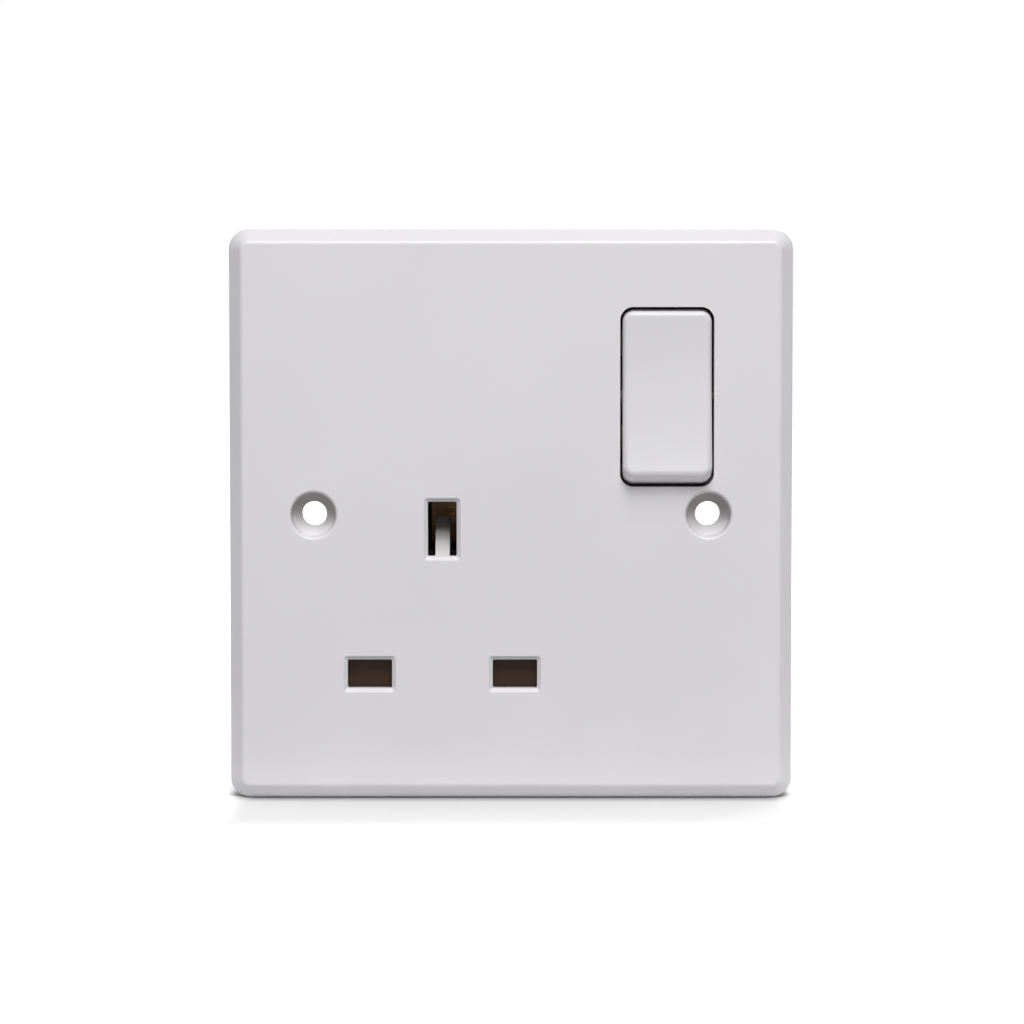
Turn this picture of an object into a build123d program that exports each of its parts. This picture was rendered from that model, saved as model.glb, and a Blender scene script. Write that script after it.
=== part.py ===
from build123d import *
import os
from math import cos, radians, sin, sqrt

# Single switched socket outlet for three rectangular pins, on a square wall plate.
# Millimetres. +Z is up, +X is to the right of someone facing the plate, and -Y points at them.
# The origin is on the wall plane, midway between the two fixing holes.
# y = 0 is the wall, negative y is in front of it, and positive y is inside the wall box.

# Front plate
plate_width = 86.0
plate_height = 87.0
plate_depth = 9.0
plate_corner = 3.0
plate_bevel = 1.95
bevel_inner_round = 0.9
bevel_outer_round = 0.5
front_wall = 2.6
skirt_wall = 2.2
cavity_corner = 0.8

# Stiffening ribs behind the plate, by the side of the base that they run out from
rib_thickness = 1.2
rib_height = 2.0
ribs_above_x = (-18.0, -3.0, 12.0, 27.0)
ribs_below_x = (-21.5, -10.5, 0.5)
ribs_right_z = (14.0, 24.0)
ribs_upper_left_z = (15.0, 27.0)
ribs_lower_left_z = (-16.0, -26.0)
ribs_lower_right_z = (-13.0, -24.0)
rib_under_switch_x = 21.0

# Fixing holes for M3.5 countersunk screws, on the standard box centres, with the heads sunk below the face
fixing_spacing = 60.3
fixing_bore = 3.8
fixing_mouth = 6.9
fixing_lip = 0.5
fixing_seat_diameter = 6.5
fixing_seat_depth = 2.2
fixing_boss_diameter = 10.4
fixing_boss_height = 3.0

# Plug pins that the socket takes
pin_spacing = 22.2
pin_rise = 22.2
flat_pin_width = 6.35
flat_pin_height = 3.97
earth_pin_width = 3.97
earth_pin_height = 7.94
earth_pin_length = 22.7
pin_entry_clearance = 0.22
pin_grip_clearance = 0.1
pin_tip_clearance = 0.3
aperture_lip = 0.6
aperture_corner = 0.25

# Where the pin group and the rocker sit on the plate
socket_x = -10.5
pin_row_z = -24.4
rocker_x = 23.8
rocker_z = 18.0

# Rocker, drawn level and then turned to its off position, top edge pressed in
rocker_width = 13.6
rocker_end_radius = 13.37
rocker_side_gap = 0.37
rocker_end_gap = 0.33
rocker_aperture_corner = 2.0
rocker_corner = 1.7
rocker_edge_round = 0.85
rocker_end_proud = 1.55
rocker_middle_proud = 0.5
rocker_half_swing = 6.5
rocker_pivot_depth = 3.3
rocker_skirt_below_pivot = 1.2
rocker_wall = 1.5
rocker_face_wall = 1.75
rocker_web = 1.2
trunnion_diameter = 2.0
trunnion_length = 1.8
trunnion_clearance = 0.05
stem_diameter = 6.0
stem_below_pivot = 8.0
stem_bore = 3.3
stem_bore_top_below_pivot = 0.6
well_wall = 1.5

# Plunger and its spring in the rocker's stem
plunger_diameter = 3.1
plunger_top_below_pivot = 5.6
plunger_tip_radius = 1.3
plunger_tip_below_pivot = 11.9
plunger_neck_length = 1.0
plunger_travel = 0.3
plunger_travel_gap = 0.1
rocker_spring_wire = 0.4
rocker_spring_diameter = 3.0
rocker_spring_turns = 5

# Moving contact, a see-saw strip on a knife edge
contact_half_swing = 10.0
contact_thickness = 0.8
contact_width = 6.0
contact_up_length = 9.6
contact_down_length = 8.6
contact_waist_width = 4.4
contact_waist_length = 1.5
contact_running_gap = 0.06
knife_gap = 0.02
contact_tip_reach = 8.0
contact_tip_diameter = 3.4
contact_tip_height = 0.75
contact_tip_dome = 0.25
contact_closed_gap = 0.04

# Shutter behind the pin apertures
shutter_clearance = 0.3
shutter_thickness = 1.6
shutter_bar_overlap_side = 0.95
shutter_bar_overlap_end = 0.8
shutter_stem_width = 6.6
shutter_window_width = 3.5
shutter_window_rim = 1.3
shutter_guide_gap = 0.25
shutter_guide_wall = 1.5
shutter_extra_travel = 0.1
shutter_end_gap = 0.2
cam_width = 2.2
cam_depth = 6.6
cam_nose_below_entry = 0.15
cam_foot = 4.2
cam_slot_gap = 0.4
shutter_spring_wire = 0.35
shutter_spring_diameter = 2.9
shutter_spring_turns = 9
shutter_spring_wall_gap = 0.1
spring_peg_diameter = 1.6
spring_peg_length = 1.8
spring_seat_wall = 1.5
spring_seat_gap = 0.2

# Cover plate that keeps the shutter against the front plate
cover_thickness = 1.6
cover_hole_clearance = 0.4
cover_half_width_above = 10.5
cover_top_above_earth = 9.6

# Contact strips
strip_thickness = 0.6
strip_width = 4.0
leaf_width = 6.0
earth_leaf_width = 7.2
leaf_bend_radius = 0.9
leaf_root_extra = 0.8
leaf_mouth_extra = 1.2
leaf_mouth_to_nip = 3.4
line_bar_above_wall = 0.7
knife_foot_margin = 1.0
knife_height = 1.6
knife_slope = 0.14
fixed_table_reach = 2.6
fixed_step_reach = 4.6
fixed_step_run = 1.4
cover_to_leaf_gap = 4.9

# Screw terminals
terminal_width = 6.4
terminal_length = 8.4
terminal_depth = 9.0
wire_bore = 4.2
wire_bore_depth = 7.4
wire_bore_from_front = 3.4
terminal_seat_height = 2.6
terminal_screw_diameter = 3.5
terminal_screw_hole_gap = 0.08
terminal_screw_head_diameter = 5.0
terminal_screw_head_height = 1.8
terminal_screw_travel = 3.6
terminal_screw_tip_gap = 0.2
screw_slot_width = 0.8
screw_slot_depth = 0.9
terminal_tab_reach = 5.4
terminal_well_gap = 0.4
terminal_tower_wall = 1.4

# Rear base
base_left = -33.6
base_right = 33.0
base_top = 32.0
base_bottom = -33.0
lug_notch_left_x = -24.0
lug_notch_z = 8.5
switch_bay_bottom = 6.5
switch_bay_foot = 2.2
bay_wall_outside_aperture = 1.4
lug_notch_right_x = 24.6
socket_bay_right = 11.5
apron_thickness = 1.8
base_corner = 2.0
base_wall = 1.6
base_floor = 2.0
base_tower_height = 1.2
cradle_wall = 1.2
cradle_gap = 0.35
cam_way_depth = 6.0
wire_entry_margin = 1.1
keeper_gap = 0.1
keeper_side_gap = 0.15
keeper_foot_extra = 1.6
keeper_foot_height = 5.0
keeper_foot_depth = 3.0

# Screws that hold the base to the plate
base_screw_places = {
    "lower_left": (-28.7, -12.8),
    "upper_left": (-19.5, 13.0),
    "lower_right": (7.2, -8.0),
    "upper_right": (12.0, 18.5),
}
base_screw_diameter = 2.9
base_screw_core = 2.4
base_screw_head_diameter = 5.0
base_screw_head_height = 1.9
base_screw_head_gap = 0.3
base_screw_seat_y = 6.0
base_screw_clearance = 0.2
base_screw_bite = 4.3
post_diameter = 6.0
pillar_wall = 1.0
screw_recess_width = 0.8
screw_recess_length = 2.8
screw_recess_depth = 1.1

# Planes along y, from the front of the plate to the back of the base
front_y = -plate_depth
wall_back_y = front_y + front_wall
pivot_y = front_y + rocker_pivot_depth
shutter_front_y = wall_back_y + shutter_clearance
shutter_back_y = shutter_front_y + shutter_thickness
cover_front_y = shutter_back_y + shutter_clearance
cover_back_y = cover_front_y + cover_thickness
base_front_y = cover_back_y
strip_front_y = front_y + earth_pin_length + pin_tip_clearance
floor_y = strip_front_y + strip_thickness
base_back_y = floor_y + base_floor

# Pin and aperture places
line_x = socket_x + pin_spacing / 2
neutral_x = socket_x - pin_spacing / 2
earth_z = pin_row_z + pin_rise
flat_entry_width = flat_pin_width + 2 * pin_entry_clearance
flat_entry_height = flat_pin_height + 2 * pin_entry_clearance
earth_entry_width = earth_pin_width + 2 * pin_entry_clearance
earth_entry_height = earth_pin_height + 2 * pin_entry_clearance

# Rocker aperture
rocker_aperture_width = rocker_width + 2 * rocker_side_gap
rocker_aperture_height = 2 * (rocker_end_radius + rocker_end_gap)

# Shutter bar, and the travel that takes it clear of the flat-pin apertures
bar_half_height = flat_entry_height / 2 + shutter_bar_overlap_end
bar_half_width = pin_spacing / 2 + flat_entry_width / 2 + shutter_bar_overlap_side
shutter_travel = bar_half_height + flat_entry_height / 2 + shutter_extra_travel
bar_bottom_z = pin_row_z - bar_half_height
bar_top_z = pin_row_z + bar_half_height
stem_top_z = earth_z - earth_entry_height / 2 - 0.3
shutter_pocket_z = bar_bottom_z - shutter_travel - shutter_end_gap

# Cam, tall enough that the earth pin drives the shutter through its whole travel
cam_nose_z = earth_z - earth_entry_height / 2 - cam_nose_below_entry
cam_rise = shutter_travel - 0.05 + earth_entry_height / 2 + cam_nose_below_entry - earth_pin_height / 2
cam_foot_z = cam_nose_z - cam_foot

# Shutter spring, in a window in the shutter's stem
window_top_z = cam_foot_z - shutter_window_rim
window_bottom_z = bar_bottom_z + shutter_window_rim
spring_seat_z = window_bottom_z + spring_seat_gap + spring_seat_wall
spring_y = wall_back_y + shutter_spring_wall_gap + shutter_spring_diameter / 2

# Switch
plunger_tip_centre_y = pivot_y + plunger_tip_below_pivot - plunger_tip_radius
fulcrum_y = plunger_tip_centre_y + plunger_tip_radius + contact_running_gap + contact_thickness / 2
knife_y = fulcrum_y + contact_thickness / 2 + knife_gap
rocker_turn = Axis((rocker_x, pivot_y, rocker_z), (1, 0, 0))
contact_turn = Axis((rocker_x, fulcrum_y, rocker_z), (1, 0, 0))

# Where the back of the closed contact tip comes to, and so where the fixed tip lies
closed_angle = radians(contact_half_swing)
tip_back = contact_thickness / 2 + contact_tip_height
closed_tip_y = fulcrum_y + tip_back * cos(closed_angle) + contact_tip_reach * sin(closed_angle)
closed_tip_z = rocker_z - tip_back * sin(closed_angle) + contact_tip_reach * cos(closed_angle)
tip_flank = contact_tip_diameter / 2 * sin(closed_angle)
fixed_tip_y = closed_tip_y + contact_closed_gap + tip_flank - contact_tip_dome / 2
fixed_table_y = fixed_tip_y + contact_tip_height

# Bar that joins the live clip to the knife edge, above the wall under the switch
line_bar_low = switch_bay_bottom + base_wall + line_bar_above_wall
line_bar_high = line_bar_low + strip_width

# Screw terminals, from the plane of their seats forward
terminal_back_y = floor_y - terminal_seat_height
terminal_front_y = terminal_back_y - terminal_depth
wire_bore_y = terminal_front_y + wire_bore_from_front
terminal_screw_tip_y = wire_bore_y + wire_bore / 2 + terminal_screw_tip_gap
terminal_head_front_y = terminal_back_y + terminal_screw_travel
upper_terminal_z = base_top - base_wall - 2.0 - terminal_length / 2
neutral_terminal_x = neutral_x - leaf_width / 2 - 0.3 - strip_thickness - terminal_width / 2
line_terminal_x = 4.5
earth_terminal_x = socket_x
terminal_places = {
    "line": (line_terminal_x, upper_terminal_z, 1),
    "earth": (earth_terminal_x, upper_terminal_z, 1),
    "neutral": (neutral_terminal_x, pin_row_z, -1),
}


# Alignments for round bodies: rising from their base, or hanging from their top
from_base = (Align.CENTER, Align.CENTER, Align.MIN)
from_top = (Align.CENTER, Align.CENTER, Align.MAX)


# A plane facing the viewer at depth y: its x runs right and its y runs up
def facing(y):
    return Plane(origin=(0, y, 0), x_dir=(1, 0, 0), z_dir=(0, -1, 0))


# A flat outline, drawn as seen from the front, made solid between two depths
def slab(outline, y_front, y_back):
    return extrude(facing(y_back) * outline, amount=y_back - y_front)


# A rectangle by its edges, as seen from the front
def area(left, right, bottom, top):
    return Pos((left + right) / 2, (bottom + top) / 2) * Rectangle(right - left, top - bottom)


def block(left, right, y_front, y_back, bottom, top):
    return slab(area(left, right, bottom, top), y_front, y_back)


# A round bar along y
def rod(x, z, diameter, y_front, y_back):
    return slab(Pos(x, z) * Circle(diameter / 2), y_front, y_back)


# A cone along y
def taper(x, z, front_diameter, back_diameter, y_front, y_back):
    cone = Cone(back_diameter / 2, front_diameter / 2, y_back - y_front, align=from_base)
    return Pos(x, y_back, z) * Rot(90, 0, 0) * cone


# A strip folded along a path of (depth, across) points, which is its inner side
def folded(plane, points, bend, width, side=Side.LEFT):
    path = FilletPolyline(*points, radius=bend)
    profile = make_face(offset(path, amount=strip_thickness, side=side))
    return extrude(plane * profile, amount=width / 2, both=True)


def front_edges(solid):
    return solid.faces().sort_by(Axis.Y)[0].edges()


# Cutter for one pin aperture: a straight hole with a lip that slopes in
def pin_aperture(x, z, width, height):
    run_out = 0.2
    wide = aperture_lip + run_out
    mouth = Pos(x, z) * RectangleRounded(width + 2 * wide, height + 2 * wide, aperture_corner + wide / 2)
    throat = Pos(x, z) * RectangleRounded(width, height, aperture_corner)
    lip = loft([facing(front_y - run_out) * mouth, facing(front_y + aperture_lip) * throat])
    return lip + slab(throat, front_y, wall_back_y + 1)


# Cutter for one fixing hole: a drafted recess, a 45 degree seat for the screw's head, and the bore
def fixing_hole(x):
    seat_y = front_y + fixing_seat_depth
    bore_y = seat_y + (fixing_seat_diameter - fixing_bore) / 2
    recess = taper(x, 0, fixing_mouth, fixing_seat_diameter, front_y, seat_y)
    seat = taper(x, 0, fixing_seat_diameter, fixing_bore, seat_y, bore_y)
    return recess + seat + rod(x, 0, fixing_bore, bore_y - 0.1, 0)


# Ribs behind the plate that the shutter slides between and the cover rests on
def shutter_guides():
    ribs = []
    bar_edge = bar_half_width + shutter_guide_gap
    stem_edge = shutter_stem_width / 2 + shutter_guide_gap
    shoulder_z = bar_top_z + 1
    runs = ((bar_edge, shutter_pocket_z, shoulder_z), (stem_edge, shoulder_z, stem_top_z))
    for side in (-1, 1):
        for edge, low, high in runs:
            middle = socket_x + side * (edge + shutter_guide_wall / 2)
            ribs.append(Pos(middle, (low + high) / 2) * Rectangle(shutter_guide_wall, high - low))
    outer = bar_edge + shutter_guide_wall
    low = shutter_pocket_z - shutter_guide_wall
    ribs.append(area(socket_x - outer, socket_x + outer, low, shutter_pocket_z))
    top = earth_z + earth_entry_height / 2 + 1
    half = cover_half_width_above - 1
    ribs.append(area(socket_x - half, socket_x + half, top, top + shutter_guide_wall))
    return [slab(rib, wall_back_y, cover_front_y) for rib in ribs]


# Block that stands through the shutter's window and carries its spring
def spring_seat():
    half = shutter_window_width / 2 - 0.2
    seat = area(socket_x - half, socket_x + half, spring_seat_z - spring_seat_wall, spring_seat_z)
    return slab(seat, wall_back_y, cover_back_y)


# Low ribs between the skirt, the fixing bosses and the rim that meets the base
def stiffening_ribs():
    half = rib_thickness / 2
    bite = 0.3
    skirt_x = plate_width / 2 - skirt_wall + bite
    skirt_z = plate_height / 2 - skirt_wall + bite
    boss_x = fixing_spacing / 2 + fixing_boss_diameter / 2 - bite
    boss_low = bite - fixing_boss_diameter / 2
    pocket_low = shutter_pocket_z - shutter_guide_wall + bite
    upright = [(x, base_top - bite, skirt_z) for x in ribs_above_x]
    upright += [(x, -skirt_z, pocket_low) for x in ribs_below_x]
    upright.append((rib_under_switch_x, -skirt_z, switch_bay_foot + bite))
    upright.append((fixing_spacing / 2, -skirt_z, boss_low))
    level = [(z, base_right - bite, skirt_x) for z in ribs_right_z]
    level += [(z, -skirt_x, lug_notch_left_x + bite) for z in ribs_upper_left_z]
    level += [(z, -skirt_x, base_left + bite) for z in ribs_lower_left_z]
    level += [(z, socket_bay_right - bite, skirt_x) for z in ribs_lower_right_z]
    level += [(0, -skirt_x, -boss_x), (0, boss_x, skirt_x)]
    areas = [area(x - half, x + half, low, high) for x, low, high in upright]
    areas += [area(left, right, z - half, z + half) for z, left, right in level]
    return [slab(outline, wall_back_y - bite, wall_back_y + rib_height) for outline in areas]


# Wall on the plate that meets the rim of the rear base, left out where the shutter pocket is
def plate_rim():
    outline = base_outline()
    inner = offset(outline, amount=-base_wall, kind=Kind.INTERSECTION)
    ring = slab(outline - inner, wall_back_y, base_front_y)
    half = cover_half_width() + 0.2
    pocket = area(socket_x - half, socket_x + half, base_bottom - 1, bar_top_z)
    return ring - slab(pocket, wall_back_y, base_front_y)


# Wall behind the rocker aperture, slotted from the back for the rocker's trunnions
def rocker_well():
    width = rocker_aperture_width + 2 * well_wall
    height = rocker_aperture_height + 2 * well_wall
    outline = Pos(rocker_x, rocker_z) * RectangleRounded(width, height, rocker_aperture_corner + well_wall)
    return slab(outline, wall_back_y, base_front_y)


def trunnion_slots():
    reach = rocker_width / 2 + trunnion_length + 0.15
    width = trunnion_diameter + 2 * trunnion_clearance
    round_end = Pos(rocker_x, pivot_y, rocker_z) * Rot(0, 90, 0) * Cylinder(width / 2, 2 * reach)
    channel = area(rocker_x - reach, rocker_x + reach, rocker_z - width / 2, rocker_z + width / 2)
    return round_end + slab(channel, pivot_y, base_front_y + 1)


def make_front_plate():
    plate = slab(RectangleRounded(plate_width, plate_height, plate_corner), front_y, 0)
    plate = chamfer(front_edges(plate), plate_bevel)
    plate = fillet(front_edges(plate), bevel_inner_round)
    rim_y = front_y + plate_bevel
    plate = fillet(plate.edges().filter_by_position(Axis.Y, rim_y - 0.01, rim_y + 0.01), bevel_outer_round)
    cavity = RectangleRounded(plate_width - 2 * skirt_wall, plate_height - 2 * skirt_wall, cavity_corner)
    plate -= slab(cavity, wall_back_y, 1)
    for x in (-fixing_spacing / 2, fixing_spacing / 2):
        plate += rod(x, 0, fixing_boss_diameter, wall_back_y - 0.1, wall_back_y + fixing_boss_height)
    plate += plate_rim()
    plate += rocker_well()
    for rib in shutter_guides() + stiffening_ribs():
        plate += rib
    plate += spring_seat()
    for x, z in base_screw_places.values():
        plate += rod(x, z, post_diameter, wall_back_y - 0.1, base_front_y)
        plate -= rod(x, z, base_screw_core, base_front_y - base_screw_bite - 0.5, base_front_y + 1)
    opening = Pos(rocker_x, rocker_z) * RectangleRounded(
        rocker_aperture_width, rocker_aperture_height, rocker_aperture_corner
    )
    plate -= slab(opening, front_y - 1, base_front_y + 1)
    plate -= trunnion_slots()
    for x in (line_x, neutral_x):
        plate -= pin_aperture(x, pin_row_z, flat_entry_width, flat_entry_height)
    plate -= pin_aperture(socket_x, earth_z, earth_entry_width, earth_entry_height)
    for x in (-fixing_spacing / 2, fixing_spacing / 2):
        plate -= fixing_hole(x)
    lips = plate.edges().filter_by(GeomType.CIRCLE).filter_by(
        lambda edge: abs(edge.radius - fixing_mouth / 2) < 0.01 and abs(edge.center().Y - front_y) < 0.01
    )
    return fillet(lips, fixing_lip)


# Rocker: its ends are arcs about the pivot, so the gap round it stays the same as it swings
def make_rocker():
    end_y = front_y - rocker_end_proud
    middle_y = front_y - rocker_middle_proud
    back_y = pivot_y + rocker_skirt_below_pivot
    half_end = sqrt(rocker_end_radius**2 - (pivot_y - end_y) ** 2)
    half_back = sqrt(rocker_end_radius**2 - rocker_skirt_below_pivot**2)
    side = [
        ThreePointArc((end_y, half_end), (middle_y, 0), (end_y, -half_end)),
        ThreePointArc((end_y, -half_end), (pivot_y, -rocker_end_radius), (back_y, -half_back)),
        Line((back_y, -half_back), (back_y, half_back)),
        ThreePointArc((back_y, half_back), (pivot_y, rocker_end_radius), (end_y, half_end)),
    ]
    body = extrude(Plane.YZ * make_face(side), amount=rocker_width / 2, both=True)
    corner_edges = body.edges().filter_by(
        lambda edge: abs(abs(edge.center().X) - rocker_width / 2) < 0.01
        and abs(edge.center().Z) > half_end - 0.5
    )
    body = fillet(corner_edges, rocker_corner)
    body = fillet(body.faces().sort_by(Axis.Y)[0].edges(), rocker_edge_round)
    hollow_front = middle_y + rocker_face_wall
    inside = block(
        -rocker_width / 2 + rocker_wall,
        rocker_width / 2 - rocker_wall,
        hollow_front,
        back_y + 1,
        -half_end + rocker_wall,
        half_end - rocker_wall,
    )
    body -= fillet(inside.edges().filter_by(Axis.Y), 0.6)
    bite = 0.5
    web_front = hollow_front - bite / 2
    web = block(-rocker_web / 2, rocker_web / 2, web_front, back_y, -half_end + bite, half_end - bite)
    cross_half = rocker_width / 2 - bite
    cross_web = block(-cross_half, cross_half, web_front, back_y, -rocker_web, rocker_web)
    stem = rod(0, 0, stem_diameter, web_front, pivot_y + stem_below_pivot)
    trunnions = Cylinder(trunnion_diameter / 2, rocker_width + 2 * trunnion_length)
    body += [web, cross_web, stem, Pos(0, pivot_y, 0) * Rot(0, 90, 0) * trunnions]
    body -= rod(0, 0, stem_bore, pivot_y + stem_bore_top_below_pivot, pivot_y + stem_below_pivot + 1)
    return turned_off(body)


# Moves a piece drawn level on the y axis to the rocker and turns it to the off position
def turned_off(piece):
    return (Pos(rocker_x, 0, rocker_z) * piece).rotate(rocker_turn, -rocker_half_swing)


def make_plunger():
    top_y = pivot_y + plunger_top_below_pivot
    neck_y = plunger_tip_centre_y - plunger_neck_length
    body = rod(0, 0, plunger_diameter, top_y, neck_y)
    body += taper(0, 0, plunger_diameter, 2 * plunger_tip_radius, neck_y, plunger_tip_centre_y)
    body += Pos(0, plunger_tip_centre_y, 0) * Sphere(plunger_tip_radius)
    return turned_off(body)


# A compression spring along local z, from 0 to length, with its wire inside both ends
def coil(diameter, wire, turns, length):
    rise = length - wire
    radius = (diameter - wire) / 2
    path = Helix(pitch=rise / turns, height=rise, radius=radius)
    section = Plane(origin=path @ 0, z_dir=path % 0) * Circle(wire / 2)
    spring = Pos(0, 0, wire / 2) * sweep(section, path=path)
    keep = Cylinder(diameter, length, align=from_base)
    return spring & keep


def make_rocker_spring():
    seat_y = pivot_y + stem_bore_top_below_pivot
    length = plunger_top_below_pivot - stem_bore_top_below_pivot - plunger_travel - plunger_travel_gap
    spring = coil(rocker_spring_diameter, rocker_spring_wire, rocker_spring_turns, length)
    return turned_off(Pos(0, seat_y, 0) * Rot(-90, 0, 0) * spring)


# Moves a piece drawn level to the switch and turns it to the open position
def turned_open(piece):
    return (Pos(rocker_x, 0, rocker_z) * piece).rotate(contact_turn, contact_half_swing)


def make_moving_contact():
    half = contact_width / 2
    plan = area(-half, half, -contact_down_length, contact_up_length)
    plan = fillet(plan.vertices(), 1.2)
    for side in (-1, 1):
        notch = (contact_width - contact_waist_width) / 2
        centre = side * (contact_width / 2 - notch / 2 + 0.05)
        plan -= Pos(centre, 0) * Rectangle(notch + 0.1, contact_waist_length)
    strip = slab(plan, fulcrum_y - contact_thickness / 2, fulcrum_y + contact_thickness / 2)
    return turned_open(strip)


# Domed silver tip, under the upper end of the moving contact
def make_moving_contact_tip():
    back = fulcrum_y + contact_thickness / 2
    tip = rod(0, contact_tip_reach, contact_tip_diameter, back, back + contact_tip_height)
    tip = fillet(tip.faces().sort_by(Axis.Y)[-1].edges(), contact_tip_dome)
    return turned_open(tip)


# Fixed contact: a strip from the line terminal that steps up under the moving tip
def make_fixed_contact():
    block_right = line_terminal_x + terminal_width / 2
    step_x = rocker_x - fixed_step_reach
    under_table_y = fixed_table_y + strip_thickness
    points = [
        (block_right, floor_y - terminal_tab_reach),
        (block_right, floor_y),
        (step_x, floor_y),
        (step_x + fixed_step_run, under_table_y),
        (rocker_x + fixed_table_reach, under_table_y),
    ]
    plane = Plane.XY.offset(closed_tip_z)
    return folded(plane, points, leaf_bend_radius, strip_width, Side.RIGHT)


def make_fixed_contact_tip():
    tip = rod(rocker_x, closed_tip_z, contact_tip_diameter, fixed_tip_y, fixed_table_y)
    return fillet(tip.faces().sort_by(Axis.Y)[0].edges(), contact_tip_dome)


# Two sprung leaves folded up from a web, open towards the plug
def clip_points(pin_half):
    grip = pin_half + pin_grip_clearance
    mouth_y = cover_back_y + cover_to_leaf_gap
    nip_y = mouth_y + leaf_mouth_to_nip
    root = grip + leaf_root_extra
    mouth = grip + leaf_mouth_extra
    return [
        (mouth_y, mouth),
        (nip_y, grip),
        (strip_front_y, root),
        (strip_front_y, -root),
        (nip_y, -grip),
        (mouth_y, -mouth),
    ]


def flat_pin_clip(x):
    plane = Plane(origin=(x, 0, pin_row_z), x_dir=(0, 1, 0), z_dir=(1, 0, 0))
    return folded(plane, clip_points(flat_pin_height / 2), leaf_bend_radius, leaf_width)


def floor_strip(left, right, bottom, top):
    return block(left, right, strip_front_y, floor_y, bottom, top)


# Live pin clip, joined along the floor to the knife edge under the moving contact
def make_line_contact():
    half = strip_width / 2
    body = flat_pin_clip(line_x)
    body += floor_strip(line_x - half, line_x + half, pin_row_z + flat_pin_height / 2, line_bar_high)
    foot_half = contact_width / 2 + knife_foot_margin
    body += floor_strip(line_x - half, rocker_x + foot_half, line_bar_low, line_bar_high)
    riser = contact_thickness
    body += floor_strip(rocker_x - foot_half, rocker_x + foot_half, line_bar_low, rocker_z + riser / 2)
    ears = area(rocker_x - foot_half, rocker_x + foot_half, rocker_z - riser / 2, rocker_z + riser / 2)
    ears = slab(ears, knife_y - knife_height, floor_y)
    waist_half = contact_waist_width / 2 + 0.15
    ears -= block(
        rocker_x - waist_half,
        rocker_x + waist_half,
        knife_y - knife_height - 1,
        knife_y,
        rocker_z - riser,
        rocker_z + riser,
    )
    # the knife edge falls away on both sides, steeper than the contact tilts
    for side in (-1, 1):
        flank = [(knife_y, 0), (knife_y + knife_slope, side * riser / 2), (knife_y, side * riser / 2)]
        cutter = extrude(
            Plane.YZ.offset(rocker_x) * Pos(0, rocker_z) * make_face(Polyline(*flank, close=True)),
            amount=waist_half,
            both=True,
        )
        ears -= cutter
    return body + ears


def make_neutral_contact():
    half = strip_width / 2
    block_right = neutral_terminal_x + terminal_width / 2
    body = flat_pin_clip(neutral_x)
    body += floor_strip(block_right, neutral_x, pin_row_z - half, pin_row_z + half)
    body += block(
        block_right,
        block_right + strip_thickness,
        floor_y - terminal_tab_reach,
        floor_y,
        pin_row_z - half,
        pin_row_z + half,
    )
    return body


def make_earth_contact():
    half = strip_width / 2
    plane = Plane(origin=(socket_x, 0, earth_z), x_dir=(0, 1, 0), z_dir=(0, 0, -1))
    block_bottom = upper_terminal_z - terminal_length / 2
    body = folded(plane, clip_points(earth_pin_width / 2), leaf_bend_radius, earth_leaf_width)
    body += floor_strip(socket_x - half, socket_x + half, earth_z, block_bottom)
    body += block(
        socket_x - half,
        socket_x + half,
        floor_y - terminal_tab_reach,
        floor_y,
        block_bottom - strip_thickness,
        block_bottom,
    )
    return body


# Brass block: the wire goes in from the edge of the base and the screw from the back
def make_terminal(x, z, side):
    half_width = terminal_width / 2
    half_length = terminal_length / 2
    body = block(
        x - half_width, x + half_width, terminal_front_y, terminal_back_y, z - half_length, z + half_length
    )
    body = chamfer(body.edges().filter_by(Axis.Z), 0.4)
    mouth = z + side * half_length
    bore = Cylinder(wire_bore / 2, wire_bore_depth, align=from_top)
    body -= Pos(x, wire_bore_y, mouth) * (bore if side > 0 else Rot(180, 0, 0) * bore)
    hole = terminal_screw_diameter + 2 * terminal_screw_hole_gap
    return body - rod(x, z, hole, wire_bore_y, terminal_back_y + 1)


# Slotted screw, shown backed off as it is supplied
def make_terminal_screw(x, z):
    shank = rod(x, z, terminal_screw_diameter, terminal_screw_tip_y, terminal_head_front_y)
    shank = chamfer(shank.faces().sort_by(Axis.Y)[0].edges(), 0.4)
    head_back = terminal_head_front_y + terminal_screw_head_height
    head = rod(x, z, terminal_screw_head_diameter, terminal_head_front_y, head_back)
    head = chamfer(head.faces().sort_by(Axis.Y)[-1].edges(), 0.3)
    slot = Pos(x, z) * Rectangle(2 * terminal_screw_head_diameter, screw_slot_width)
    return shank + head - slab(slot, head_back - screw_slot_depth, head_back + 1)


# Cam that the earth pin pushes down, a sloped rib in the middle of the earth aperture
def make_shutter_cam():
    back_y = shutter_front_y + cam_depth
    points = [
        (shutter_front_y, cam_nose_z),
        (back_y, cam_nose_z + cam_rise),
        (back_y, cam_nose_z + cam_rise - 4.6),
        (shutter_back_y, cam_foot_z),
        (shutter_front_y, cam_foot_z),
    ]
    profile = make_face(Polyline(*points, close=True))
    return extrude(Plane.YZ.offset(socket_x) * profile, amount=cam_width / 2, both=True)


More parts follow.
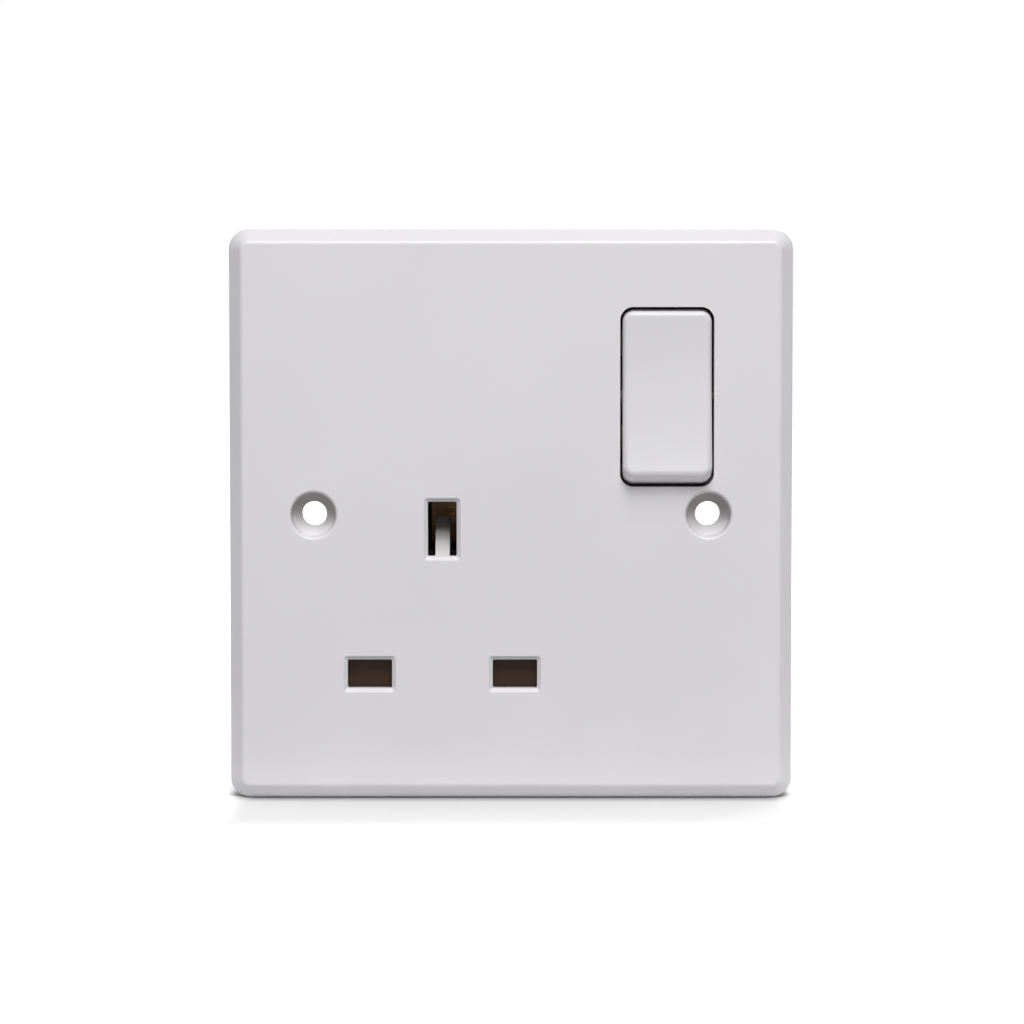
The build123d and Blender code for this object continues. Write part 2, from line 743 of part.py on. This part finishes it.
# Dark blade: a cross bar over the two flat-pin apertures, on a stem with a window for the spring
def make_shutter():
    stem_half = shutter_stem_width / 2
    window_half = shutter_window_width / 2
    bar = area(socket_x - bar_half_width, socket_x + bar_half_width, bar_bottom_z, bar_top_z)
    stem = area(socket_x - stem_half, socket_x + stem_half, pin_row_z, stem_top_z)
    outline = fillet((bar + stem).vertices(), 0.4)
    window = area(socket_x - window_half, socket_x + window_half, window_bottom_z, window_top_z)
    blade = slab(outline - window, shutter_front_y, shutter_back_y) - make_shutter_cam()
    root_z = window_top_z + 0.5
    peg = Cylinder(spring_peg_diameter / 2, root_z - window_top_z + spring_peg_length, align=from_top)
    room = area(socket_x - window_half, socket_x + window_half, spring_seat_z, root_z)
    return blade + (Pos(socket_x, spring_y, root_z) * peg & slab(room, shutter_front_y, shutter_back_y))


def make_shutter_spring():
    length = window_top_z - spring_seat_z
    spring = coil(shutter_spring_diameter, shutter_spring_wire, shutter_spring_turns, length)
    return Pos(socket_x, spring_y, spring_seat_z) * spring


def cover_half_width():
    return bar_half_width + shutter_guide_gap + shutter_guide_wall


# Cover plate behind the shutter, with clear holes for the pins and a slot for the cam and spring
def make_shutter_cover():
    edge = cover_half_width()
    above = cover_half_width_above
    plan = area(socket_x - edge, socket_x + edge, shutter_pocket_z - shutter_guide_wall, bar_top_z + 2.2)
    plan += area(socket_x - above, socket_x + above, pin_row_z, earth_z + cover_top_above_earth)
    plan = fillet(plan.vertices(), 1.0)
    spare = 2 * cover_hole_clearance
    flat_hole = RectangleRounded(flat_entry_width + spare, flat_entry_height + spare, 0.5)
    earth_hole = RectangleRounded(earth_entry_width + spare, earth_entry_height + spare, 0.5)
    plan -= [Pos(x, pin_row_z) * flat_hole for x in (line_x, neutral_x)]
    plan -= Pos(socket_x, earth_z) * earth_hole
    cam_half = cam_width / 2 + cam_slot_gap
    plan -= area(socket_x - cam_half, socket_x + cam_half, cam_foot_z - shutter_travel - 0.5, earth_z)
    spring_half = shutter_window_width / 2
    seat_low = spring_seat_z - spring_seat_wall - 0.2
    plan -= area(socket_x - spring_half, socket_x + spring_half, seat_low, window_top_z + 0.3)
    for x, z in base_screw_places.values():
        plan -= Pos(x, z) * Circle(post_diameter / 2 + 0.2)
    return slab(plan, cover_front_y, cover_back_y)


def base_outline():
    corners = [
        (base_left, base_bottom),
        (base_left, -lug_notch_z),
        (lug_notch_left_x, -lug_notch_z),
        (lug_notch_left_x, base_top),
        (base_right, base_top),
        (base_right, switch_bay_bottom),
        (lug_notch_right_x, switch_bay_bottom),
        (lug_notch_right_x, switch_bay_foot),
        (socket_bay_right, switch_bay_foot),
        (socket_bay_right, base_bottom),
    ]
    outline = make_face(Polyline(*corners, close=True))
    return fillet(outline.vertices(), base_corner)


# Walls that stand round a contact clip and stop its leaves spreading
def clip_cradle(x, z, half_width, half_height, open_below):
    width = 2 * (half_width + cradle_gap)
    height = 2 * (half_height + cradle_gap)
    inner = Pos(x, z) * Rectangle(width, height)
    outer = Pos(x, z) * Rectangle(width + 2 * cradle_wall, height + 2 * cradle_wall)
    ring = slab(outer - inner, cover_back_y, floor_y + 0.1)
    if open_below:
        way = area(x - width / 2, x + width / 2, z - height, z)
        ring -= slab(way, cover_back_y - 1, cover_back_y + cam_way_depth)
    return ring


# Moulded rear half: tray, cradles, terminal wells, pillars and the rocker's keepers
def make_rear_base():
    outline = base_outline()
    base = slab(outline, base_front_y, base_back_y)
    base = fillet(base.faces().sort_by(Axis.Y)[-1].edges(), 0.6)
    inner = offset(outline, amount=-base_wall, kind=Kind.INTERSECTION)
    base -= slab(inner, base_front_y - 1, floor_y)
    solid_space = slab(outline, base_front_y, base_back_y)

    grip = flat_pin_height / 2 + pin_grip_clearance + leaf_mouth_extra + strip_thickness
    earth_grip = earth_pin_width / 2 + pin_grip_clearance + leaf_mouth_extra + strip_thickness
    added = [
        clip_cradle(line_x, pin_row_z, leaf_width / 2, grip, False),
        clip_cradle(neutral_x, pin_row_z, leaf_width / 2, grip, False),
        clip_cradle(socket_x, earth_z, earth_grip, earth_leaf_width / 2, True),
    ]
    wall_top = base_top - base_wall / 2
    bay_wall_x = rocker_x - rocker_aperture_width / 2 - bay_wall_outside_aperture
    bay_wall = area(bay_wall_x, bay_wall_x + base_wall, switch_bay_bottom, wall_top)
    added.append(slab(bay_wall, base_front_y, floor_y))
    partition_x = (line_terminal_x + earth_terminal_x) / 2
    partition_low = upper_terminal_z - terminal_length / 2 - 2
    partition = area(partition_x - cradle_wall / 2, partition_x + cradle_wall / 2, partition_low, wall_top)
    added.append(slab(partition, terminal_front_y, floor_y))
    pillar_diameter = base_screw_head_diameter + 2 * (base_screw_head_gap + pillar_wall)
    for x, z in base_screw_places.values():
        added.append(rod(x, z, pillar_diameter, base_front_y, floor_y + 0.1))
    for x, z, side in terminal_places.values():
        added.append(rod(x, z, terminal_width, terminal_back_y, floor_y + 0.1))
    pedestal = Pos(rocker_x, closed_tip_z) * Rectangle(2 * fixed_table_reach - 0.2, strip_width)
    added.append(slab(pedestal, fixed_table_y + strip_thickness, floor_y + 0.1))
    for piece in added:
        base += piece & solid_space

    tower_diameter = terminal_screw_head_diameter + 2 * (terminal_well_gap + terminal_tower_wall)
    well_diameter = terminal_screw_head_diameter + 2 * terminal_well_gap
    for x, z, side in terminal_places.values():
        tower = rod(x, z, tower_diameter, base_back_y - 0.1, base_back_y + base_tower_height)
        base += fillet(tower.faces().sort_by(Axis.Y)[-1].edges(), 0.4)
        base -= rod(x, z, well_diameter, terminal_back_y - 1, base_back_y + base_tower_height + 1)
        base -= wire_entry(x, z, side)
    screw_hole = base_screw_diameter + 2 * base_screw_clearance
    head_recess = base_screw_head_diameter + 2 * base_screw_head_gap
    for x, z in base_screw_places.values():
        base -= rod(x, z, screw_hole, base_front_y - 1, base_back_y)
        base -= rod(x, z, head_recess, base_screw_seat_y, base_back_y + 1)
    base -= strip_room()
    base += rocker_apron()
    for side in (-1, 1):
        base += rocker_keeper(side)
    return base


# Thin ledge in front of the box lug that closes the lower end of the rocker's well
def rocker_apron():
    left = rocker_x - rocker_aperture_width / 2 - well_wall
    right = rocker_x + rocker_aperture_width / 2 + well_wall
    low = rocker_z - rocker_aperture_height / 2 - well_wall
    ledge = area(left, right, low, switch_bay_bottom + base_wall / 2)
    return slab(ledge, base_front_y, base_front_y + apron_thickness)


# Square hole in the edge of the base in front of a terminal's wire bore
def wire_entry(x, z, side):
    half = wire_bore / 2 + wire_entry_margin
    inner = z + side * terminal_length / 2
    outer = base_top + 1 if side > 0 else base_bottom - 1
    hole = block(
        x - half, x + half, wire_bore_y - half, wire_bore_y + half, min(inner, outer), max(inner, outer)
    )
    return fillet(hole.edges().filter_by(Axis.Z), 1.0)


# Room left in the walls and pillars for the strips that run along the floor
def strip_room():
    spare = 0.2
    half = strip_width / 2 + spare
    low_y = strip_front_y - spare
    foot = rocker_x + contact_width / 2 + knife_foot_margin + spare
    block_bottom = upper_terminal_z - terminal_length / 2
    tab_y = floor_y - terminal_tab_reach - spare
    line_right = line_terminal_x + terminal_width / 2
    neutral_right = neutral_terminal_x + terminal_width / 2
    leaf_half = earth_leaf_width / 2
    fixed_end = rocker_x - fixed_table_reach
    tab_room = strip_thickness + spare
    rooms = [
        block(line_x - half, line_x + half, low_y, floor_y, pin_row_z, line_bar_high + spare),
        block(line_x - half, foot, low_y, floor_y, line_bar_low - spare, line_bar_high + spare),
        block(socket_x - half, socket_x + half, low_y, floor_y, earth_z + leaf_half, block_bottom),
        block(neutral_right, neutral_x, low_y, floor_y, pin_row_z - half, pin_row_z + half),
        block(line_right, fixed_end, low_y, floor_y, closed_tip_z - half, closed_tip_z + half),
        block(socket_x - half, socket_x + half, tab_y, floor_y, block_bottom - tab_room, block_bottom),
        block(neutral_right, neutral_right + tab_room, tab_y, floor_y, pin_row_z - half, pin_row_z + half),
    ]
    pocket = Rectangle(terminal_width + spare, terminal_length + spare)
    for x, z, side in terminal_places.values():
        rooms.append(slab(Pos(x, z) * pocket, terminal_front_y - spare, terminal_back_y))
    room = rooms[0]
    for more in rooms[1:]:
        room += more
    return room


# Prong that reaches into the well's slot and keeps one trunnion in its seat
def rocker_keeper(side):
    inner = rocker_aperture_width / 2 + keeper_side_gap
    outer = inner + well_wall - 2 * keeper_side_gap
    front = pivot_y + trunnion_diameter / 2 + keeper_gap
    half = trunnion_diameter / 2 - 0.15
    middle = Pos(rocker_x + side * (inner + outer) / 2, rocker_z)
    prong = slab(middle * Rectangle(outer - inner, 2 * half), front, base_front_y + 0.1)
    foot = Rectangle(outer - inner + keeper_foot_extra, keeper_foot_height)
    return prong + slab(middle * foot, base_front_y, base_front_y + keeper_foot_depth)


# Self-tapping screw from the back of the base into one of the plate's posts
def make_base_screw(x, z):
    tip_y = base_front_y - base_screw_bite
    shank = rod(x, z, base_screw_core, tip_y, base_screw_seat_y)
    shank = chamfer(shank.faces().sort_by(Axis.Y)[0].edges(), 0.7)
    head_back = base_screw_seat_y + base_screw_head_height
    head = rod(x, z, base_screw_head_diameter, base_screw_seat_y, head_back)
    head = fillet(head.faces().sort_by(Axis.Y)[-1].edges(), 0.8)
    bar = Rectangle(screw_recess_length, screw_recess_width)
    cross = bar + Rot(0, 0, 90) * bar
    return shank + head - slab(Pos(x, z) * cross, head_back - screw_recess_depth, head_back + 1)


parts = {
    "front_plate": make_front_plate(),
    "rocker": make_rocker(),
    "rocker_plunger": make_plunger(),
    "rocker_spring": make_rocker_spring(),
    "moving_contact": make_moving_contact(),
    "moving_contact_tip": make_moving_contact_tip(),
    "fixed_contact": make_fixed_contact(),
    "fixed_contact_tip": make_fixed_contact_tip(),
    "line_contact": make_line_contact(),
    "neutral_contact": make_neutral_contact(),
    "earth_contact": make_earth_contact(),
    "shutter": make_shutter(),
    "shutter_cam": make_shutter_cam(),
    "shutter_spring": make_shutter_spring(),
    "shutter_cover": make_shutter_cover(),
    "rear_base": make_rear_base(),
}
for label, (x, z, side) in terminal_places.items():
    parts[label + "_terminal"] = make_terminal(x, z, side)
    parts[label + "_terminal_screw"] = make_terminal_screw(x, z)

for label, (x, z) in base_screw_places.items():
    parts["base_screw_" + label] = make_base_screw(x, z)

os.makedirs("parts", exist_ok=True)
for name, shape in parts.items():
    export_step(shape, "parts/" + name + ".step")
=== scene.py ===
import math

import bmesh
import bpy
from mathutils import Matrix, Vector


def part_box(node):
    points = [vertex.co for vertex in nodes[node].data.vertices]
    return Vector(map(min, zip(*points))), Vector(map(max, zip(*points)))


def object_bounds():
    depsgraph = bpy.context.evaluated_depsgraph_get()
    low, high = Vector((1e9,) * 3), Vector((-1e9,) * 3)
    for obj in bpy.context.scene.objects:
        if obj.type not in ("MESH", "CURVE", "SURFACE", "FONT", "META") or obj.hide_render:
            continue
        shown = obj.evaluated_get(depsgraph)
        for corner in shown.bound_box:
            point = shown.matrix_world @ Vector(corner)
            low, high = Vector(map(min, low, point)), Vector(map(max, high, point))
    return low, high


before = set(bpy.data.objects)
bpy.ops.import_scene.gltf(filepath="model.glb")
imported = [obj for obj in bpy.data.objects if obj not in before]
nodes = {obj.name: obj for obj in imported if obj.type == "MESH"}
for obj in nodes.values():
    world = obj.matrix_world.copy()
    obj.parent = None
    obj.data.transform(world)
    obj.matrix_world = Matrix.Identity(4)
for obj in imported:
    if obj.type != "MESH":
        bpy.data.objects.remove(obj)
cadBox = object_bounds()
scene = bpy.context.scene
print("frame loaded,", len(nodes), "nodes")


photoView = {
    "frameSide": 1024,
    "plateWidthShown": 562,    # pixels across the plate in the photograph
    "plateCentre": (511, 514.2),
    "distance": 0.65,          # lens to the plate's widest outline
    "lookDown": 3.5,           # degrees
    "outlineDepth": 0.0019,    # from the plate's face back to its widest outline
    "sensor": 36.0,
    "nearClip": 0.01,
}


def setCamera(view):
    low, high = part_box("front_plate")
    width = high.x - low.x
    tilt = math.radians(view["lookDown"])
    target = Vector((0, low.y + view["outlineDepth"], 0))
    camera = bpy.data.objects.new("photoCamera", bpy.data.cameras.new("photoCamera"))
    scene.collection.objects.link(camera)
    camera.location = target + view["distance"] * Vector((0, -math.cos(tilt), math.sin(tilt)))
    camera.rotation_euler = (math.radians(90) - tilt, 0, 0)
    side = view["frameSide"]
    across, down = view["plateCentre"]
    camera.data.sensor_width = view["sensor"]
    camera.data.lens = view["sensor"] * view["plateWidthShown"] / side * view["distance"] / width
    camera.data.shift_x = (side / 2 - across) / side
    camera.data.shift_y = (down - side / 2) / side
    camera.data.clip_start = view["nearClip"]
    scene.camera = camera


setCamera(photoView)
print("camera set")


# the second value stays unused where the sum takes only one
def addMath(tree, kind, first, second=0.0):
    node = tree.nodes.new("ShaderNodeMath")
    node.operation = kind
    for slot, value in zip(node.inputs, (first, second)):
        if isinstance(value, (int, float)):
            slot.default_value = value
        else:
            tree.links.new(value, slot)
    return node.outputs[0]


def mixColours(tree, factor, first, second, kind="MIX"):
    mix = tree.nodes.new("ShaderNodeMix")
    mix.data_type = "RGBA"
    mix.blend_type = kind
    tree.links.new(factor, mix.inputs[0])
    for slot, value in zip(mix.inputs[6:8], (first, second)):
        if isinstance(value, tuple):
            slot.default_value = (*value, 1)
        else:
            tree.links.new(value, slot)
    return mix.outputs[2]


def spreadValue(tree, value, reach, ends, kind="LINEAR"):
    spread = tree.nodes.new("ShaderNodeMapRange")
    spread.interpolation_type = kind
    spread.inputs["From Min"].default_value, spread.inputs["From Max"].default_value = reach
    spread.inputs["To Min"].default_value, spread.inputs["To Max"].default_value = ends
    tree.links.new(value, spread.inputs["Value"])
    return spread.outputs["Result"]


def smoothRange(tree, value, reach, ends):
    return spreadValue(tree, value, reach, ends, "SMOOTHSTEP")


def objectPlaces(tree):
    coordinates = tree.nodes.new("ShaderNodeTexCoord")
    parts = tree.nodes.new("ShaderNodeSeparateXYZ")
    tree.links.new(coordinates.outputs["Object"], parts.inputs[0])
    return parts.outputs["X"], parts.outputs["Y"], parts.outputs["Z"]


# 1 for rays that come from the camera, off a shiny surface or through a clear one
def seenRays(tree):
    path = tree.nodes.new("ShaderNodeLightPath")
    seen = path.outputs["Is Camera Ray"]
    for kind in ("Is Glossy Ray", "Is Transmission Ray"):
        seen = addMath(tree, "MAXIMUM", seen, path.outputs[kind])
    return seen


lighting = {
    "dome": 0.006,
    "backdrop": 1.0,
    "size": 0.48,              # side of each softbox
    "distance": 1.2,
    "front": (42, 5, 9.2),     # degrees up, degrees round to the plate's right, watts
    "above": (61, 5, 6.1),
    "behind": (40, 160, 4.2),  # not in the photograph, shows the back
}


def addSoftbox(name, look):
    lamp = bpy.data.lights.new(name, "AREA")
    lamp.shape = "SQUARE"
    lamp.size = look["size"]
    up, aside, lamp.energy = look[name]
    box = bpy.data.objects.new(name + "Softbox", lamp)
    scene.collection.objects.link(box)
    rise = math.radians(up)
    turn = math.radians(aside)
    box.location = look["distance"] * Vector(
        (math.cos(rise) * math.sin(turn), -math.cos(rise) * math.cos(turn), math.sin(rise))
    )
    box.rotation_euler = (-box.location).to_track_quat("-Z", "Y").to_euler()


def addBackground(tree, strength):
    background = tree.nodes.new("ShaderNodeBackground")
    background.inputs["Color"].default_value = (1, 1, 1, 1)
    background.inputs["Strength"].default_value = strength
    return background.outputs[0]


def setWorld(look):
    world = bpy.data.worlds.new("studio")
    world.use_nodes = True
    tree = world.node_tree
    tree.nodes.clear()
    output = tree.nodes.new("ShaderNodeOutputWorld")
    mix = tree.nodes.new("ShaderNodeMixShader")
    tree.links.new(seenRays(tree), mix.inputs["Fac"])
    tree.links.new(addBackground(tree, look["dome"]), mix.inputs[1])
    tree.links.new(addBackground(tree, look["backdrop"]), mix.inputs[2])
    tree.links.new(mix.outputs[0], output.inputs["Surface"])
    scene.world = world


setWorld(lighting)
for name in ("front", "above", "behind"):
    addSoftbox(name, lighting)
scene.view_settings.view_transform = "Standard"
print("lights set")


floorLook = {
    "radius": 4.0,
    "segments": 96,
    "white": 0.90,
    "bounce": (0.86, 0.40),    # how much light it gives back, at the plate's foot and away from it
    "bounceReach": (0.006, 0.028),
    "glow": (0.15, 1.0),       # added for the camera, near the plate and away from it
    "glowSides": (0.040, 0.048),
    "glowReach": (0.032, 0.065),
    "shadows": ((0.046, 0.66), (0.005, 1.0)),  # reach and depth of the wide and the narrow shadow
    "shadowSides": (0.039, 0.0455),
}


# how open the floor is round a point, so that what stands on it darkens it
def floorOpenness(tree, look):
    openness = 1.0
    for reach, depth in look["shadows"]:
        nearby = tree.nodes.new("ShaderNodeAmbientOcclusion")
        nearby.inputs["Distance"].default_value = reach
        openness = addMath(tree, "MULTIPLY", addMath(tree, "POWER", nearby.outputs["AO"], depth), openness)
    return openness


def makeFloorWhite(look):
    material = bpy.data.materials.new("studioFloor")
    material.use_nodes = True
    tree = material.node_tree
    tree.nodes.clear()
    output = tree.nodes.new("ShaderNodeOutputMaterial")
    paint = tree.nodes.new("ShaderNodeBsdfDiffuse")
    glow = tree.nodes.new("ShaderNodeEmission")
    both = tree.nodes.new("ShaderNodeAddShader")
    seen = seenRays(tree)
    across, along, height = objectPlaces(tree)
    sideways = addMath(tree, "ABSOLUTE", across)
    forward = addMath(tree, "ABSOLUTE", along)
    shade = addMath(tree, "SUBTRACT", 1.0, floorOpenness(tree, look))
    shade = addMath(tree, "MULTIPLY", shade, smoothRange(tree, sideways, look["shadowSides"], (1.0, 0.0)))
    lit = addMath(tree, "SUBTRACT", 1.0, addMath(tree, "MULTIPLY", seen, shade))
    white = tree.nodes.new("ShaderNodeMix")
    tree.links.new(seen, white.inputs[0])
    tree.links.new(smoothRange(tree, forward, look["bounceReach"], look["bounce"]), white.inputs[2])
    white.inputs[3].default_value = look["white"]
    tree.links.new(addMath(tree, "MULTIPLY", lit, white.outputs[0]), paint.inputs["Color"])
    beside = smoothRange(tree, sideways, look["glowSides"], look["glow"])
    before = smoothRange(tree, forward, look["glowReach"], look["glow"])
    brightness = addMath(tree, "MULTIPLY", seen, addMath(tree, "MAXIMUM", beside, before))
    tree.links.new(addMath(tree, "MULTIPLY", brightness, lit), glow.inputs["Strength"])
    tree.links.new(paint.outputs[0], both.inputs[0])
    tree.links.new(glow.outputs[0], both.inputs[1])
    tree.links.new(both.outputs[0], output.inputs["Surface"])
    return material


def addFloor(look):
    mesh = bpy.data.meshes.new("studioFloor")
    sheet = bmesh.new()
    bmesh.ops.create_circle(sheet, cap_ends=True, segments=look["segments"], radius=look["radius"])
    sheet.to_mesh(mesh)
    sheet.free()
    mesh.materials.append(makeFloorWhite(look))
    floor = bpy.data.objects.new("studioFloor", mesh)
    floor.location.z = cadBox[0][2]
    scene.collection.objects.link(floor)


addFloor(floorLook)
print("floor laid")


noiseSpan = (0.3, 0.7)  # noise seldom leaves these values


def newMaterial(name):
    material = bpy.data.materials.new(name)
    material.use_nodes = True
    tree = material.node_tree
    shader = tree.nodes["Principled BSDF"]
    return material, tree, shader


# noise read from the piece's own coordinates, so it stays with the piece when it moves
def objectNoise(tree, scale, detail=2.0, stretch=(1, 1, 1)):
    coordinates = tree.nodes.new("ShaderNodeTexCoord")
    mapping = tree.nodes.new("ShaderNodeMapping")
    mapping.inputs["Scale"].default_value = stretch
    noise = tree.nodes.new("ShaderNodeTexNoise")
    noise.inputs["Scale"].default_value = scale
    noise.inputs["Detail"].default_value = detail
    tree.links.new(coordinates.outputs["Object"], mapping.inputs["Vector"])
    tree.links.new(mapping.outputs["Vector"], noise.inputs["Vector"])
    return noise.outputs["Fac"]


def twoColours(tree, noise, first, second):
    return mixColours(tree, spreadValue(tree, noise, noiseSpan, (0, 1)), first, second)


def setRoughness(tree, shader, noise, roughness):
    tree.links.new(spreadValue(tree, noise, noiseSpan, roughness), shader.inputs["Roughness"])


def addBump(tree, shader, heights, distance, strength):
    bump = tree.nodes.new("ShaderNodeBump")
    bump.inputs["Distance"].default_value = distance
    bump.inputs["Strength"].default_value = strength
    tree.links.new(heights, bump.inputs["Height"])
    tree.links.new(bump.outputs["Normal"], shader.inputs["Normal"])


def dress(material, *names):
    for name in names:
        slots = nodes[name].data.materials
        slots.clear()
        slots.append(material)


whitePlastic = {
    "colour": (0.735, 0.722, 0.740),
    "cloud": (0.715, 0.702, 0.720),
    "cloudScale": 45.0,
    "roughness": (0.38, 0.47),
    "patchScale": 180.0,
    "peelScale": 900.0,
    "peelDetail": 3.0,
    "peelHeight": 0.00002,
    "peelStrength": 0.15,
}
fixingHoles = {
    "spacing": 0.0603,
    "radius": (0.0031, 0.0037),    # where the countersink's tone fades out
    "shade": (0.60, 0.575, 0.55),  # painted on the top of a hole, times the plate's colour
    "height": (-0.0034, 0.0026),
    "heightShare": (0.05, 1.0),    # of the shade, over that height
    "ringPitch": 0.0004,
    "ringDepth": 2.0,              # times the height of the plastic's peel
}
rockerShades = {
    "middle": 0.0238,
    "halfWidth": (0.00681, 0.00689),
    "trunnions": (0.035, 0.028, 0.024),  # painted shade beyond that half width, as the gap beside the rocker is dark
    "face": (0.0065, 0.020),             # heights over which its tone falls: a painted shade, darker towards the lower end
    "faceShadeTone": (0.875, 0.945),
    "foot": (0.0059, 0.0066),            # heights over which painted light brightens it again at the lower end
    "footLightTone": (1.34, 1.0),
}


# paints the countersinks' shade and adds their turned rings to the peel
def markHoles(tree, holes, colour, peel):
    across, along, height = objectPlaces(tree)
    aside = addMath(tree, "SUBTRACT", addMath(tree, "ABSOLUTE", across), holes["spacing"] / 2)
    squares = addMath(tree, "MULTIPLY", aside, aside)
    squares = addMath(tree, "ADD", squares, addMath(tree, "MULTIPLY", height, height))
    radius = addMath(tree, "SQRT", squares)
    inside = smoothRange(tree, radius, holes["radius"], (1.0, 0.0))
    upper = smoothRange(tree, height, holes["height"], holes["heightShare"])
    shaded = addMath(tree, "MULTIPLY", inside, upper)
    colour = mixColours(tree, shaded, colour, holes["shade"], "MULTIPLY")
    rings = addMath(tree, "SINE", addMath(tree, "MULTIPLY", radius, 2 * math.pi / holes["ringPitch"]))
    depth = addMath(tree, "MULTIPLY", inside, holes["ringDepth"])
    return colour, addMath(tree, "ADD", peel, addMath(tree, "MULTIPLY", rings, depth))


# paints a shade down the rocker's face, light at its foot and shade on its trunnions
def shadeRocker(tree, shades, colour):
    across, along, height = objectPlaces(tree)
    face = smoothRange(tree, height, shades["face"], shades["faceShadeTone"])
    foot = smoothRange(tree, height, shades["foot"], shades["footLightTone"])
    tone = tree.nodes.new("ShaderNodeVectorMath")
    tone.operation = "SCALE"
    tree.links.new(colour, tone.inputs[0])
    tree.links.new(addMath(tree, "MULTIPLY", face, foot), tone.inputs["Scale"])
    aside = addMath(tree, "ABSOLUTE", addMath(tree, "SUBTRACT", across, shades["middle"]))
    outside = smoothRange(tree, aside, shades["halfWidth"], (0.0, 1.0))
    return mixColours(tree, outside, tone.outputs[0], shades["trunnions"])


def makeWhitePlastic(name, look, holes=None, shades=None):
    material, tree, shader = newMaterial(name)
    colour = twoColours(tree, objectNoise(tree, look["cloudScale"]), look["colour"], look["cloud"])
    peel = objectNoise(tree, look["peelScale"], look["peelDetail"])
    if holes:
        colour, peel = markHoles(tree, holes, colour, peel)
    if shades:
        colour = shadeRocker(tree, shades, colour)
    tree.links.new(colour, shader.inputs["Base Color"])
    setRoughness(tree, shader, objectNoise(tree, look["patchScale"]), look["roughness"])
    addBump(tree, shader, peel, look["peelHeight"], look["peelStrength"])
    return material


dress(makeWhitePlastic("plateWhite", whitePlastic, holes=fixingHoles), "front_plate")
dress(makeWhitePlastic("mouldedWhite", whitePlastic, shades=rockerShades), "rocker")


brownPlastic = {
    "colour": (0.050, 0.028, 0.019),
    "streak": (0.072, 0.042, 0.028),
    "streakScale": 60.0,
    "streakDetail": 5.0,
    "streakStretch": (0.5, 1, 3),
    "roughness": (0.34, 0.48),
    "patchScale": 180.0,
    "shine": 0.45,
    "grainScale": 1400.0,
    "grainDetail": 4.0,
    "grainHeight": 0.00003,
    "grainStrength": 0.25,
}
shutterPlastic = dict(brownPlastic, colour=(0.036, 0.019, 0.011), streak=(0.048, 0.026, 0.015), shine=0.15)


def makeBrownPlastic(name, look):
    material, tree, shader = newMaterial(name)
    shader.inputs["Specular IOR Level"].default_value = look["shine"]
    streaks = objectNoise(tree, look["streakScale"], look["streakDetail"], look["streakStretch"])
    tree.links.new(twoColours(tree, streaks, look["colour"], look["streak"]), shader.inputs["Base Color"])
    setRoughness(tree, shader, objectNoise(tree, look["patchScale"]), look["roughness"])
    grain = objectNoise(tree, look["grainScale"], look["grainDetail"])
    addBump(tree, shader, grain, look["grainHeight"], look["grainStrength"])
    return material


dress(makeBrownPlastic("mouldedBrown", brownPlastic), "rear_base", "shutter_cover")
dress(makeBrownPlastic("shutterBrown", shutterPlastic), "shutter")


naturalPlastic = {
    "colour": (0.68, 0.67, 0.66),
    "cloud": (0.64, 0.63, 0.62),
    "cloudScale": 120.0,
    "roughness": (0.38, 0.46),
    "patchScale": 360.0,
}


def makeNaturalPlastic(name, look):
    material, tree, shader = newMaterial(name)
    cloud = objectNoise(tree, look["cloudScale"])
    tree.links.new(twoColours(tree, cloud, look["colour"], look["cloud"]), shader.inputs["Base Color"])
    setRoughness(tree, shader, objectNoise(tree, look["patchScale"]), look["roughness"])
    return material


dress(makeNaturalPlastic("naturalWhite", naturalPlastic), "shutter_cam", "rocker_plunger")


rolledBrass = {
    "colour": (0.66, 0.45, 0.20),
    "tarnish": (0.42, 0.27, 0.12),
    "stainScale": 260.0,
    "stainDetail": 4.0,
    "roughness": (0.26, 0.42),
    "lineScale": 900.0,
    "lineDetail": 3.0,
    "lineStretch": (1, 1, 14),
    "lineHeight": 0.00002,
    "lineStrength": 0.2,
}
# the earth clip's brass painted near black: a painted shade for the depth of its aperture
shadeDarkBrass = dict(rolledBrass, colour=(0.15, 0.085, 0.045), tarnish=(0.08, 0.045, 0.024))
turnedBrass = dict(rolledBrass, colour=(0.83, 0.61, 0.29), roughness=(0.18, 0.30), lineStretch=(1, 12, 1))
platedSteel = dict(
    rolledBrass, colour=(0.62, 0.63, 0.64), tarnish=(0.52, 0.53, 0.52), roughness=(0.24, 0.36), lineStretch=(1, 8, 1)
)
springSteel = dict(platedSteel, colour=(0.50, 0.50, 0.50), tarnish=(0.40, 0.40, 0.40))
silverTip = dict(platedSteel, colour=(0.86, 0.85, 0.82), tarnish=(0.76, 0.74, 0.70), roughness=(0.16, 0.28))


def makeMetal(name, look):
    material, tree, shader = newMaterial(name)
    shader.inputs["Metallic"].default_value = 1.0
    stains = objectNoise(tree, look["stainScale"], look["stainDetail"])
    tree.links.new(twoColours(tree, stains, look["colour"], look["tarnish"]), shader.inputs["Base Color"])
    lines = objectNoise(tree, look["lineScale"], look["lineDetail"], look["lineStretch"])
    setRoughness(tree, shader, lines, look["roughness"])
    addBump(tree, shader, lines, look["lineHeight"], look["lineStrength"])
    return material


dress(makeMetal("rolledBrass", rolledBrass), "line_contact", "neutral_contact", "fixed_contact", "moving_contact")
dress(makeMetal("shadeDarkBrass", shadeDarkBrass), "earth_contact")
dress(makeMetal("turnedBrass", turnedBrass), "line_terminal", "neutral_terminal", "earth_terminal")
dress(makeMetal("silverTip", silverTip), "fixed_contact_tip", "moving_contact_tip")
dress(makeMetal("springSteel", springSteel), "shutter_spring", "rocker_spring")
dress(makeMetal("platedSteel", platedSteel), *[name for name in nodes if "screw" in name])
print("materials set")
